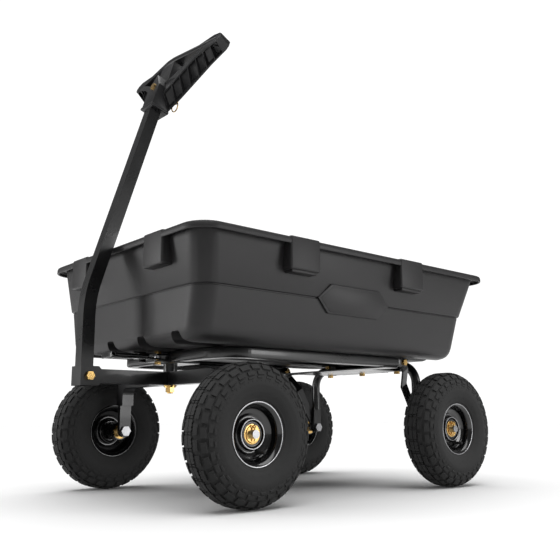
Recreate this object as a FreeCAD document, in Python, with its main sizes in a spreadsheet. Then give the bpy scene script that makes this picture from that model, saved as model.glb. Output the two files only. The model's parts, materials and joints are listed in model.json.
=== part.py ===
"""Garden dump cart: a poly tub on a steel running gear with four pneumatic wheels.

X points forward, Y to the cart's left and Z up. The origin is on the ground under the middle
of the cart's outline. All sizes are in millimetres. Lengths along X in the sheet count from
the middle of the wheelbase, which stands mid_x from the origin.
"""
import FreeCAD, Part
import math
import os
import re

import Sketcher
from FreeCAD import Placement, Rotation, Vector

DIMENSIONS = [
    ("mid_x", -34.0, "middle of the wheelbase, from the origin"),
    ("wheelbase", 608.0, "front axle to rear axle"),
    ("half_track", 268.0, "centre line to the middle of a wheel"),
    ("tyre_r", 132.5, "tyre radius over the tread"),
    ("tyre_half_w", 41.0, "half width of the tyre at its bulge"),
    ("bead_r", 50.8, "bead seat radius of the rim"),
    ("flange_r", 59.0, "rim flange radius"),
    ("flange_y", 30.7, "rim flange, from the middle of the wheel"),
    ("hub_r", 20.0, "hub tube radius"),
    ("hub_out", 12.0, "outer end of the hub, from the middle of the wheel"),
    ("hub_in", 60.0, "inner end of the hub, from the middle of the wheel"),
    ("bearing_r", 17.5, "bearing outer radius"),
    ("bearing_w", 12.0, "bearing width"),
    ("valve_r", 3.5, "tyre valve radius"),
    ("spindle_r", 8.0, "wheel spindle radius"),
    ("running_gap", 0.05, "radial clearance of a running fit"),
    ("leg_y", 190.0, "front axle leg, from the centre line"),
    ("rear_leg_y", 180.0, "rear axle leg, from the centre line"),
    ("tube", 28.0, "square tube of the front axle and the tongue"),
    ("tube_wall", 2.5, "wall of the steel tubes"),
    ("front_bar_z", 244.0, "middle of the front axle's cross bar"),
    ("rear_tube_r", 11.0, "round tube of the rear axle, and of the tub's pivot"),
    ("rear_bar_z", 289.0, "middle of the rear axle's cross bar, the dump pivot"),
    ("rail_z", 278.0, "underside of the frame rails"),
    ("rail_height", 22.0, "height of the frame rails"),
    ("rail_depth", 25.0, "width of the rails' flanges"),
    ("rail_wall", 3.0, "thickness of the rails' sheet"),
    ("rail_y", 215.0, "outer face of a rail, from the centre line"),
    ("hoop_front", 318.0, "front face of the frame hoop"),
    ("hoop_back", -225.0, "rear end of the rails"),
    ("hoop_bend", 72.0, "outer bend radius of the hoop"),
    ("plate_t", 3.0, "thickness of the flat plates"),
    ("kingpin_x", 303.0, "steering axis"),
    ("kingpin_r", 6.0, "kingpin bolt radius"),
    ("lever_x", 335.0, "pivot of the dump lever"),
    ("lever_tip", 460.0, "tip of the dump lever"),
    ("tub_floor", 300.5, "underside of the tub"),
    ("tub_groove", 403.0, "groove round the tub"),
    ("tub_lip", 497.0, "underside of the tub's rim"),
    ("tub_top", 511.5, "top of the tub's rim"),
    ("tub_wall", 5.0, "wall of the tub"),
    ("rim_back", -450.0, "rear edge of the tub's rim"),
    ("rim_front", 449.5, "front edge of the tub's rim"),
    ("rim_y", 310.0, "side edge of the tub's rim"),
    ("lug_drop", 68.0, "height of the lugs below the rim's top"),
    ("lug_w", 80.0, "width of a side lug"),
    ("rib_w", 31.0, "width of the channels under the tub's floor"),
    ("rib_height", 21.5, "height of the channels under the tub's floor"),
    ("pivot_x", 499.5, "handle pivot"),
    ("pivot_z", 244.0, "height of the handle pivot"),
    ("shaft_x", 502.0, "middle line of the handle's upright part"),
    ("yoke_half", 20.0, "half width of the handle yoke"),
    ("yoke_t", 4.0, "thickness of the yoke's cheeks"),
    ("yoke_front", 518.0, "front face of the yoke"),
    ("yoke_back", 471.0, "rear edge of the yoke's cheeks"),
    ("shaft", 26.0, "square tube of the handle"),
    ("shaft_wall", 2.0, "wall of the handle tube"),
    ("shaft_bend_z", 401.0, "height where the handle's middle line bends"),
    ("shaft_bend_r", 250.0, "bend radius of the handle"),
    ("shaft_lean", 17.5, "lean of the upper handle in degrees"),
    ("grip_z", 836.0, "foot of the grip on the handle's middle line"),
    ("grip_half_w", 178.0, "half width of the grip"),
    ("grip_height", 155.0, "height of the grip"),
    ("sleeve_front", 18.0, "front face of the grip's sleeve, from the handle's middle line"),
    ("sleeve_back", 25.0, "rear face of the grip's sleeve, from the handle's middle line"),
    ("arm_front", -4.0, "front face of the grip's arms, from the handle's middle line"),
    ("arm_depth", 26.0, "depth of the grip's arms"),
    ("sleeve_half", 23.0, "half width of the grip's sleeve"),
    ("hitch_r", 6.0, "hitch pin radius"),
    ("hitch_s", 57.0, "hitch pin, up the handle from the grip's foot"),
    ("shaft_in_grip", 70.0, "length of the handle tube inside the grip"),
    ("bolt_r", 4.0, "radius of the eight millimetre bolts"),
    ("brace_w", 21.0, "width of a brace"),
    ("brace_t", 5.0, "thickness of a brace"),
    ("brace_top_x", -217.0, "upper bolt of a brace"),
    ("ring_r", 12.5, "radius of the pull ring"),
]

doc = FreeCAD.newDocument("GardenCart")
sheet = doc.addObject("Spreadsheet::Sheet", "Dims")
for row, (alias, value, note) in enumerate(DIMENSIONS, start=1):
    sheet.set("A%d" % row, note)
    sheet.set("B%d" % row, str(value))
    sheet.setAlias("B%d" % row, alias)
doc.recompute()
D = {alias: float(getattr(sheet, alias)) for alias, value, note in DIMENSIONS}

UP = Vector(0, 0, 1)
LEFT = Vector(0, 1, 0)
FORWARD = Vector(1, 0, 0)
SIDES = (("left", 1), ("right", -1))
STUD_YS = (-120, 0, 120)
SADDLE_YS = (-95, 95)
SADDLE_BOLTS = (-36, 34)
REAR_X = D["mid_x"] - D["wheelbase"] / 2
FRONT_AXLE = "mid_x + wheelbase / 2"
REAR_AXLE = "mid_x - wheelbase / 2"

NODES = {}


# ---------------------------------------------------------------- helpers

def bound(expression):
    """An expression whose plain names point at the sheet."""
    return re.sub(r"[a-z]\w*", lambda word: "Dims." + word.group(0), str(expression))


def bind(thing, **sizes):
    """Tie each named property of an object to the sheet."""
    for name, expression in sizes.items():
        thing.setExpression(name, bound(expression))
    return thing


def stand(thing, x, y, z, axis=UP, spin=0.0):
    """Put an object at a point given by expressions, its Z turned to axis."""
    turn = Rotation(UP, axis).multiply(Rotation(UP, spin))
    thing.Placement = Placement(Vector(), turn)
    for name, expression in (("x", x), ("y", y), ("z", z)):
        thing.setExpression("Placement.Base." + name, bound(expression))
    return thing


def box(length, width, height, x, y, z):
    """A box from its low corner."""
    made = bind(doc.addObject("Part::Box", "Box"), Length=length, Width=width, Height=height)
    return stand(made, x, y, z)


def rod(radius, height, x, y, z, axis=UP):
    """A round bar from the middle of its first end."""
    made = bind(doc.addObject("Part::Cylinder", "Rod"), Radius=radius, Height=height)
    return stand(made, x, y, z, axis)


def hexagon(radius, height, x, y, z, axis=UP, spin=0.0):
    """A hexagon bar, for bolt heads and nuts."""
    made = doc.addObject("Part::Prism", "Hexagon")
    made.Polygon = 6
    bind(made, Circumradius=radius, Height=height)
    return stand(made, x, y, z, axis, spin)


def torus(ring, wire, x, y, z, axis=UP):
    """A ring of round wire."""
    made = bind(doc.addObject("Part::Torus", "Ring"), Radius1=ring, Radius2=wire)
    return stand(made, x, y, z, axis)


def fuse(*parts):
    """One solid out of several that touch."""
    made = doc.addObject("Part::MultiFuse", "Fuse")
    made.Shapes = list(parts)
    made.Refine = True
    return made


def cut(base, *tools):
    """A solid less its tools."""
    made = doc.addObject("Part::Cut", "Cut")
    made.Base = base
    made.Tool = tools[0] if len(tools) == 1 else fuse(*tools)
    made.Refine = True
    return made


def group(*parts):
    """Separate solids that share a node."""
    made = doc.addObject("Part::Compound", "Group")
    made.Links = list(parts)
    return made


def node(name, thing):
    """Name a finished sub-part."""
    thing.Label = name
    NODES[name] = thing
    return thing


def new_body(name):
    """An empty PartDesign body."""
    return doc.addObject("PartDesign::Body", "Body_" + name)


def plane_of(body, role):
    """One of a body's own origin planes."""
    return [face for face in body.Origin.OriginFeatures if face.Role == role][0]


def sketch_on(body, role, name, offset=0.0):
    """A sketch on an origin plane of its own body."""
    sketch = body.newObject("Sketcher::SketchObject", name)
    sketch.AttachmentSupport = [(plane_of(body, role), "")]
    sketch.MapMode = "FlatFace"
    sketch.AttachmentOffset = Placement(Vector(0, 0, offset), Rotation())
    return sketch


def draw(sketch, points):
    """A closed outline of straight runs through flat points."""
    corners = [Vector(u, v, 0) for u, v in points]
    for start, end in zip(corners, corners[1:] + corners[:1]):
        sketch.addGeometry(Part.LineSegment(start, end), False)
    return sketch


def trace(sketch, edges):
    """Runs and arcs as they come."""
    for edge in edges:
        sketch.addGeometry(edge, False)
    return sketch


def circle(sketch, radius, expression, centre=(0.0, 0.0)):
    """A circle whose radius is tied to the sheet."""
    edge = sketch.addGeometry(Part.Circle(Vector(centre[0], centre[1], 0), UP, radius), False)
    rule = sketch.addConstraint(Sketcher.Constraint("Radius", edge, radius))
    sketch.setExpression("Constraints[%d]" % rule, bound(expression))


def square(sketch, size, centre=(0.0, 0.0)):
    """A square outline about a centre."""
    half = size / 2
    signs = ((-1, -1), (1, -1), (1, 1), (-1, 1))
    return draw(sketch, [(centre[0] + a * half, centre[1] + b * half) for a, b in signs])


def bent_path(points, radius):
    """Straight runs through flat points, with a round bend at each corner."""
    edges = []
    start = Vector(*points[0], 0)
    for before, corner, after in zip(points, points[1:], points[2:]):
        corner = Vector(*corner, 0)
        arriving = (corner - Vector(*before, 0)).normalize()
        leaving = (Vector(*after, 0) - corner).normalize()
        half_turn = arriving.getAngle(leaving) / 2
        setback = radius * math.tan(half_turn)
        first = corner - arriving * setback
        last = corner + leaving * setback
        inward = (leaving - arriving).normalize()
        middle = corner + inward * (radius / math.cos(half_turn) - radius)
        edges.append(Part.LineSegment(start, first))
        edges.append(Part.Arc(first, middle, last))
        start = last
    edges.append(Part.LineSegment(start, Vector(*points[-1], 0)))
    return edges


def bent_tube(name, role, points, radius, profile):
    """A tube whose path starts straight up at its first point; profile draws its section."""
    body = new_body(name)
    path = trace(sketch_on(body, role, "Path_" + name), bent_path(points, radius))
    section = sketch_on(body, "XY_Plane", "Section_" + name, points[0][1])
    profile(section)
    doc.recompute()
    pipe = body.newObject("PartDesign::AdditivePipe", "Pipe_" + name)
    pipe.Profile = section
    pipe.Spine = (path, ["Edge%d" % (index + 1) for index in range(path.GeometryCount)])
    doc.recompute()
    return body


def padded(name, role, outline, length, offset=0.0, midplane=False):
    """A body padded from one closed outline drawn by a function."""
    body = new_body(name)
    sketch = sketch_on(body, role, "Outline_" + name, offset)
    outline(sketch)
    pad = body.newObject("PartDesign::Pad", "Pad_" + name)
    pad.Profile = sketch
    pad.Midplane = midplane
    bind(pad, Length=length)
    return body


# ---------------------------------------------------------------- wheels

def revolve(name, outline, x, y, z):
    """A body turned about the Y axis, from (radius, y) points."""
    body = new_body(name)
    sketch = draw(sketch_on(body, "XY_Plane", "Outline_" + name), outline)
    turned = body.newObject("PartDesign::Revolution", "Turn_" + name)
    turned.Profile = sketch
    turned.ReferenceAxis = (sketch, ["V_Axis"])
    turned.Angle = 360
    return stand(body, x, y, z)


def closed_section(half):
    """A section made whole by its mirror across the wheel's middle."""
    return half + [(radius, -y) for radius, y in reversed(half)]


def tyre_section():
    """The tyre's section as (radius, y): the outside, then back along the inside."""
    outside = [(D["bead_r"], 25.0), (60.0, 28.0), (66.0, 34.5), (76.0, 39.4),
               (88.0, D["tyre_half_w"]), (100.0, 40.2), (112.0, 37.4), (122.0, 32.6),
               (128.5, 25.0), (D["tyre_r"], 14.0)]
    inside = [(D["bead_r"], 16.0), (58.0, 19.0), (66.0, 27.0), (76.0, 32.0), (88.0, 33.6),
              (100.0, 32.6), (112.0, 28.0), (119.0, 20.0), (122.0, 8.0)]
    return closed_section(outside) + list(reversed(closed_section(inside)))


def rim_half(side):
    """One pressed rim half: disc, barrel and rolled flange; side +1 is towards +Y."""
    sheet_t = 2.0
    bead = D["bead_r"]
    edge = D["flange_y"]
    inner_r = bead - sheet_t
    dish = [(D["hub_r"], sheet_t), (34.0, sheet_t), (42.0, 5.0), (inner_r, 12.0),
            (inner_r, 27.0), (bead + 1.0, edge), (D["flange_r"], edge),
            (D["flange_r"], edge - 2.0), (bead + 3.0, edge - 2.7), (bead, 25.6),
            (bead, 0.0), (D["hub_r"], 0.0)]
    return [(radius, side * y) for radius, y in dish]


def wheel(corner, x, side):
    """Every piece of one wheel; side is +1 on the left."""
    place = (x, "%d * half_track" % side, "tyre_r")
    out = Vector(0, side, 0)
    inward = Vector(0, -side, 0)
    node(corner + "_tyre", revolve(corner + "_tyre", tyre_section(), *place))
    valve_at = (x, "%d * half_track" % side, "tyre_r - 38")
    disc = revolve(corner + "_rim_outer_disc", rim_half(side), *place)
    node(corner + "_rim_outer", cut(disc, rod("valve_r", 12, *valve_at, out)))
    node(corner + "_rim_inner", revolve(corner + "_rim_inner", rim_half(-side), *place))
    out_y = "%d * (half_track + hub_out)" % side
    node(corner + "_hub", cut(rod("hub_r", "hub_out + hub_in", x, out_y, "tyre_r", inward),
                              rod("bearing_r", "hub_out + hub_in", x, out_y, "tyre_r", inward)))
    bearings = []
    for outer_end in ("hub_out", "bearing_w - hub_in"):
        at = "%d * (half_track + %s)" % (side, outer_end)
        bearings.append(cut(rod("bearing_r", "bearing_w", x, at, "tyre_r", inward),
                            rod("spindle_r + running_gap", "bearing_w", x, at, "tyre_r", inward)))
    node(corner + "_bearings", group(*bearings))
    node(corner + "_valve", rod("valve_r", 24, *valve_at, out))


# ---------------------------------------------------------------- axles

def flattened_foot(half_x, top, x, y):
    """A leg's flattened end: a flat bar, round about the spindle."""
    thick = 10.0
    low_y = "%s - %g" % (y, thick / 2)
    flat = box(2 * half_x, thick, "%g - tyre_r" % top, "%s - %g" % (x, half_x), low_y, "tyre_r")
    foot = rod(half_x, thick, x, low_y, "tyre_r", LEFT)
    return fuse(flat, foot)


def leg_holes(x, leg):
    """The holes through both legs that hold the spindles."""
    return [rod("spindle_r", 12, x, "%d * (%s - 6)" % (side, leg), "tyre_r", Vector(0, side, 0))
            for _, side in SIDES]


def front_axle():
    """Square-tube cross bar bent down at both ends, with flattened feet."""
    leg = D["leg_y"]
    foot_top = 190.0
    path = [(leg, foot_top), (leg, D["front_bar_z"]), (-leg, D["front_bar_z"]), (-leg, foot_top)]

    def section(sketch):
        square(sketch, D["tube"], (0.0, leg))
        square(sketch, D["tube"] - 2 * D["tube_wall"], (0.0, leg))

    bar = stand(bent_tube("front_bar", "YZ_Plane", path, 30.0, section), FRONT_AXLE, 0, 0)
    feet = [flattened_foot(14.0, foot_top + 8.0, FRONT_AXLE, "%d * leg_y" % side)
            for _, side in SIDES]
    bore = rod("kingpin_r + running_gap", "tube + 2", "mid_x + kingpin_x", 0,
               "front_bar_z - tube / 2 - 1")
    node("front_axle_beam", cut(fuse(bar, *feet), bore, *leg_holes(FRONT_AXLE, "leg_y")))


def rear_axle():
    """Round-tube arch with flattened feet; its cross bar is the tub's pivot."""
    leg = D["rear_leg_y"]
    foot_top = 182.0
    path = [(leg, foot_top), (leg, D["rear_bar_z"]), (-leg, D["rear_bar_z"]), (-leg, foot_top)]

    def section(sketch):
        circle(sketch, D["rear_tube_r"], "rear_tube_r", (0.0, leg))
        circle(sketch, D["rear_tube_r"] - D["tube_wall"], "rear_tube_r - tube_wall", (0.0, leg))

    arch = stand(bent_tube("rear_arch", "YZ_Plane", path, 45.0, section), REAR_AXLE, 0, 0)
    feet = [flattened_foot(13.0, foot_top + 6.0, REAR_AXLE, "%d * rear_leg_y" % side)
            for _, side in SIDES]
    stud_holes = [rod("bolt_r", 6, REAR_AXLE, y, "rear_bar_z - rear_tube_r - 1") for y in STUD_YS]
    node("rear_axle", cut(fuse(arch, *feet), *stud_holes, *leg_holes(REAR_AXLE, "rear_leg_y")))


def spindles(prefix, x, leg, face):
    """Two spindles with shoulders, and the washers and cotter pins that keep the wheels on."""
    bars, washers, pins = [], [], []
    for _, side in SIDES:
        out = Vector(0, side, 0)
        inner_face = "%d * (%s - 5)" % (side, leg)
        outer_face = "%d * (%s)" % (side, face)
        keeper_y = "%d * (half_track + hub_out + 7)" % side
        washer_y = "%d * (half_track + hub_out + 0.3)" % side
        bar = rod("spindle_r", "half_track + hub_out + 17 - %s" % leg, x, inner_face, "tyre_r", out)
        shoulder = rod(11, "half_track - hub_in - 0.3 - (%s)" % face, x, outer_face, "tyre_r", out)
        head = hexagon(12, 6, x, inner_face, "tyre_r", Vector(0, -side, 0))
        bars.append(cut(fuse(bar, shoulder, head), rod(1.6, 20, x, keeper_y, "tyre_r - 10")))
        washers.append(cut(rod(15, 2.5, x, washer_y, "tyre_r", out),
                           rod("spindle_r", 2.5, x, washer_y, "tyre_r", out)))
        stem = rod(1.6, 24, x, keeper_y, "tyre_r - 13")
        eye = torus(2.8, 1.2, x, keeper_y, "tyre_r + 13.6", FORWARD)
        pins.append(fuse(stem, eye))
    node(prefix + "_spindles", group(*bars))
    node(prefix + "_washers", group(*washers))
    node(prefix + "_cotter_pins", group(*pins))


# ---------------------------------------------------------------- chassis

def hoop_band(inset, depth):
    """Draw a U-shaped band in plan that follows the hoop."""
    def edge_line(shift):
        front = D["mid_x"] + D["hoop_front"] - shift
        side = D["rail_y"] - shift
        back = D["mid_x"] + D["hoop_back"]
        corners = [(back, side), (front, side), (front, -side), (back, -side)]
        return bent_path(corners, D["hoop_bend"] - shift)

    outer = edge_line(inset)
    inner = edge_line(inset + depth)
    ends = [Part.LineSegment(outer[0].StartPoint, inner[0].StartPoint),
            Part.LineSegment(outer[-1].EndPoint, inner[-1].EndPoint)]
    return lambda sketch: trace(sketch, outer + inner + ends)


def frame_hoop():
    """Channel section bent into a hoop, open side inwards."""
    wall = D["rail_wall"]
    low = D["rail_z"]
    web = padded("hoop_web", "XY_Plane", hoop_band(0.0, wall), "rail_height", low)
    flange = hoop_band(0.0, D["rail_depth"])
    lower = padded("hoop_lower", "XY_Plane", flange, "rail_wall", low)
    upper = padded("hoop_upper", "XY_Plane", flange, "rail_wall", low + D["rail_height"] - wall)
    brace_holes = [rod("bolt_r", 12, "mid_x + brace_top_x", "%d * (rail_y + 2)" % side,
                       "rail_z + rail_height / 2", Vector(0, -side, 0)) for _, side in SIDES]
    kingpin_hole = rod("kingpin_r", "rail_wall + 2", "mid_x + kingpin_x", 0, "rail_z - 1")
    brace_room = box(28, "2 * (rail_y - rail_wall)", "rail_height + 2", "mid_x + hoop_back - 1",
                     "rail_wall - rail_y", "rail_z - 1")
    node("frame_hoop", cut(fuse(web, lower, upper), kingpin_hole, brace_room, *brace_holes))


def cross_plate():
    """Flat plate that ties the rails to the rear cross bar, notched round the tub's saddles."""
    low = "rail_z - plate_t"
    back = "mid_x - wheelbase / 2 - 13"
    narrow = box(122, 264, "plate_t", back, -132, low)
    wide = box(45, "2 * rail_y - 4", "plate_t", "mid_x - 195", "2 - rail_y", low)
    notches = [box(34, 30, "plate_t + 2", back + " - 1", y - 15, low + " - 1") for y in SADDLE_YS]
    studs = [rod("bolt_r", "plate_t + 2", REAR_AXLE, y, low + " - 1") for y in STUD_YS]
    node("rear_cross_plate", cut(fuse(narrow, wide), *notches, *studs))
    return [fuse(hexagon(7.5, 6, REAR_AXLE, y, low, Vector(0, 0, -1)),
                 rod("bolt_r", "plate_t + 3", REAR_AXLE, y, low)) for y in STUD_YS]


def braces():
    """Flat bars from the rails down to the rear spindles, and their bolts."""
    top_x = D["mid_x"] + D["brace_top_x"]
    top_z = D["rail_z"] + D["rail_height"] / 2
    run = Vector(REAR_X - top_x, 0, D["tyre_r"] - top_z)
    angle = math.degrees(math.atan2(-run.z, run.x))
    thick = D["brace_t"]
    y_top = D["rail_y"] - D["rail_wall"] - thick
    shift = y_top - D["rear_leg_y"] - 5.0
    top = ("mid_x + brace_top_x", "rail_z + rail_height / 2")
    bolts = []
    for name, side in SIDES:
        def profile(sketch, side=side):
            steps = [(0.0, 0.0), (20.0, 0.0), (60.0, -shift), (run.Length, -shift)]
            near = [(u, side * v) for u, v in steps]
            far = [(u, side * (v + thick)) for u, v in reversed(steps)]
            draw(sketch, near + far)

        bar = padded(name + "_brace_bar", "XY_Plane", profile, "brace_w", 0.0, True)
        bar.Placement = Placement(Vector(top_x, side * y_top, top_z), Rotation(LEFT, angle))
        out = Vector(0, side, 0)
        inside = "%d * (rail_y - rail_wall - brace_t)" % side
        foot = "%d * (rear_leg_y + 5)" % side
        eyes = [rod("brace_w / 2", "brace_t", top[0], inside, top[1], out),
                rod(14, "brace_t", REAR_AXLE, foot, "tyre_r", out)]
        holes = [rod("bolt_r", "brace_t", top[0], inside, top[1], out),
                 rod("spindle_r", "brace_t", REAR_AXLE, foot, "tyre_r", out)]
        node(name + "_brace", cut(fuse(bar, *eyes), *holes))
        bolts.append(fuse(hexagon(7.5, 5, top[0], "%d * rail_y" % side, top[1], out),
                          rod("bolt_r", "rail_wall + brace_t", top[0], inside, top[1], out),
                          hexagon(7.5, 6, top[0], inside, top[1], Vector(0, -side, 0))))
    return bolts


def kingpin():
    """The steering pin, its plate, spacer, washers and nut."""
    x = "mid_x + kingpin_x"
    plate = box(60, 90, "plate_t", "mid_x + kingpin_x - 45", -45, "rail_z - plate_t")
    node("kingpin_plate", cut(plate, rod("kingpin_r", 6, x, 0, "rail_z - 5")))
    beam_top = "front_bar_z + tube / 2"
    beam_low = "front_bar_z - tube / 2"
    spacer = rod(15, "rail_z - plate_t - front_bar_z - tube / 2 - 0.3", x, 0, beam_top + " + 0.3")
    node("kingpin_spacer", cut(spacer, rod("kingpin_r", 30, x, 0, beam_top)))
    washers = [rod(radius, 2.0, x, 0, "%s - %g" % (beam_low, drop))
               for radius, drop in ((14, 2.3), (12, 4.3))]
    hole = rod("kingpin_r", 12, x, 0, beam_low + " - 8")
    node("kingpin_washer", cut(fuse(*washers), hole))
    nut = hexagon(10.5, 10, x, 0, beam_low + " - 14.3")
    node("kingpin_nut", cut(nut, rod("kingpin_r", 12, x, 0, beam_low + " - 15")))
    shank = rod("kingpin_r", "rail_z + rail_wall - front_bar_z + tube / 2 + 17", x, 0,
                beam_low + " - 17")
    head = hexagon(10, 8, x, 0, "rail_z + rail_wall")
    node("kingpin_bolt", fuse(shank, head))


def latch():
    """The bracket on the hoop's nose, the dump lever that swings in it, its pin and spring."""
    x = "mid_x + lever_x"
    back = "mid_x + hoop_front"
    low = box(34, 44, "plate_t", back, -22, "rail_z")
    high = box(34, 44, "plate_t", back, -22, "rail_z + 13")
    wall = box("plate_t", 44, 16, back, -22, "rail_z")
    holes = rod("bolt_r", 30, x, 0, "rail_z - 5")
    node("latch_bracket", cut(fuse(low, high, wall), holes))
    pin = fuse(rod("bolt_r", 16, x, 0, "rail_z"), hexagon(8, 6, x, 0, "rail_z + 16"),
               hexagon(7.5, 5, x, 0, "rail_z", Vector(0, 0, -1)))
    node("lever_pivot_bolt", pin)
    spring = cut(rod(8, 4, x, 0, "rail_z + 8.6"), rod(6, 4, x, 0, "rail_z + 8.6"))
    node("lever_spring", spring)
    blade = box("lever_tip - lever_x - 6", 24, "plate_t", x, -12, "rail_z + 5")
    eye = rod(12, "plate_t", x, 0, "rail_z + 5")
    hook = box(16, 12, "plate_t", "mid_x + lever_x + 14", -24, "rail_z + 5")
    tongue = box("plate_t", 44, 12, "mid_x + lever_tip - 8", -22, "rail_z + 4")
    lip = box(12, 44, "plate_t", "mid_x + lever_tip - 17", -22, "rail_z + 13")
    bore = rod("bolt_r + running_gap", 12, x, 0, "rail_z + 1")
    node("dump_lever", cut(fuse(blade, eye, hook, tongue, lip), bore))


# ---------------------------------------------------------------- tub

def section(back, front, side, radius, z):
    """A rounded rectangle in plan at a height given by an expression."""
    sketch = doc.addObject("Sketcher::SketchObject", "Section")
    low, high = D["mid_x"] + back, D["mid_x"] + front
    corners = [(high, -side), (high, side), (low, side), (low, -side)]
    edges = bent_path([((low + high) / 2, -side)] + corners + [((low + high) / 2, -side)], radius)
    trace(sketch, edges)
    sketch.setExpression("Placement.Base.z", bound(z))
    return sketch


def loft(*sections):
    """A solid with straight walls from each section to the next."""
    made = doc.addObject("Part::Loft", "Loft")
    made.Sections = list(sections)
    made.Solid = True
    made.Ruled = True
    return made


def tub_outside(inset):
    """The tub's body without its rim, drawn in by inset all round."""
    def level(back, front, side, radius, z):
        return section(back + inset, front - inset, side - inset, max(radius - inset, 20.0), z)

    lower = loft(level(-352.0, 394.0, 235.0, 34.0, "tub_floor + %g" % inset),
                 level(-364.0, 405.5, 247.0, 40.0, "tub_floor + %g" % (inset * 0.6 + 4.0)),
                 level(-372.0, 413.5, 255.5, 44.0, "tub_floor + %g" % (inset * 0.2 + 13.0)),
                 level(-376.0, 416.2, 260.0, 45.0, "tub_floor + 26"),
                 level(-384.5, 417.5, 276.0, 45.0, "tub_groove"))
    top = "tub_top - 4" if inset == 0 else "tub_top + 1"
    upper = loft(level(-387.0, 420.0, 278.5, 45.0, "tub_groove"),
                 level(-436.0, 434.0, 292.0, 47.0, top))
    return lower, upper


def channels(width, height, low):
    """The straight channels under the floor, which show as ribs inside."""
    rows = (-3, -1, 1, 3)
    return [box(860, width, height, "mid_x - 420", "%g * 62.5 - (%s) / 2" % (row, width), low)
            for row in rows]


def lug(x, y, length, width):
    """A block under the rim."""
    return box(length, width, "lug_drop", x, y, "tub_top + 2 - lug_drop")


def tub():
    """The poly tub: tapered walls, rolled rim, lugs and a ribbed floor."""
    rim_back, rim_front, rim_y = D["rim_back"], D["rim_front"], D["rim_y"]
    skirt = 4.0
    wall_y = 282.0
    rim = loft(section(rim_back, rim_front, rim_y, 55.0, "tub_lip"),
               section(rim_back + 2, rim_front - 2, rim_y - 2, 53.0, "tub_top"))
    rim_hollow = cut(loft(section(rim_back + skirt, rim_front - skirt, rim_y - skirt, 51.0,
                                  "tub_lip - 1"),
                          section(rim_back + skirt, rim_front - skirt, rim_y - skirt, 51.0,
                                  "tub_top - 5")),
                     *tub_outside(0.0))
    lugs = []
    for middle in (-142.0, 191.0):
        for _, side in SIDES:
            low_y = wall_y if side > 0 else -rim_y - 1.0
            lugs.append(lug("mid_x + %g - lug_w / 2" % middle, low_y, "lug_w",
                            rim_y + 1 - wall_y))
    for middle in (-155.0, 155.0):
        lugs.append(lug("mid_x + 421", middle - 35.0, 27, 70))
    outside = cut(fuse(*tub_outside(0.0), cut(rim, rim_hollow), *lugs), *channels("rib_w",
                  "rib_height + 1", "tub_floor - 1"))
    cavity = cut(fuse(*tub_outside(D["tub_wall"])),
                 *channels("rib_w + 2 * tub_wall", "rib_height + tub_wall + 1", "tub_floor - 1"))
    bolt_holes = [rod("bolt_r", 20, "%s %+g" % (REAR_AXLE, dx), y, "tub_floor - 5")
                  for y in SADDLE_YS for dx in SADDLE_BOLTS]
    node("tub", cut(outside, cavity, *bolt_holes))


def saddles():
    """Straps under the tub that turn on the rear cross bar, and the bolts that hold them."""
    inner = D["rear_tube_r"] + D["running_gap"]
    outer = inner + D["plate_t"]
    width = 26.0
    for name, y in zip(("right_saddle", "left_saddle"), SADDLE_YS):
        low_y = y - width / 2
        strap = rod(outer, width, REAR_AXLE, low_y, "rear_bar_z", LEFT)
        cheeks = box(2 * outer, width, "tub_floor - rear_bar_z", "%s - %g" % (REAR_AXLE, outer),
                     low_y, "rear_bar_z")
        flange = box(92, width, "plate_t", REAR_AXLE + " - 46", low_y, "tub_floor - plate_t")
        bore = rod(inner, width, REAR_AXLE, low_y, "rear_bar_z", LEFT)
        slot = box(2 * inner, width, 20, "%s - %g" % (REAR_AXLE, inner), low_y, "rear_bar_z")
        above = box(92, width, 20, REAR_AXLE + " - 46", low_y, "tub_floor")
        holes = [rod("bolt_r", 20, "%s %+g" % (REAR_AXLE, dx), y, "tub_floor - 10")
                 for dx in SADDLE_BOLTS]
        node(name, cut(fuse(strap, cheeks, flange), bore, slot, above, *holes))
    bolts = []
    for y in SADDLE_YS:
        for dx in SADDLE_BOLTS:
            x = "%s %+g" % (REAR_AXLE, dx)
            bolts.append(fuse(rod(8, 3, x, y, "tub_floor + tub_wall"),
                              rod("bolt_r", "plate_t + tub_wall", x, y, "tub_floor - plate_t"),
                              hexagon(7.5, 6, x, y, "tub_floor - plate_t", Vector(0, 0, -1))))
    node("saddle_bolts", group(*bolts))
    strike_x = "mid_x + lever_x + 14"
    plate = box(30, 26, 3, strike_x, -52, "tub_floor - 3")
    leg = box(16, 3, "tub_floor - rail_z - 1", strike_x, -29, "rail_z + 1")
    node("latch_strike", fuse(plate, leg))


# ---------------------------------------------------------------- handle

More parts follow.
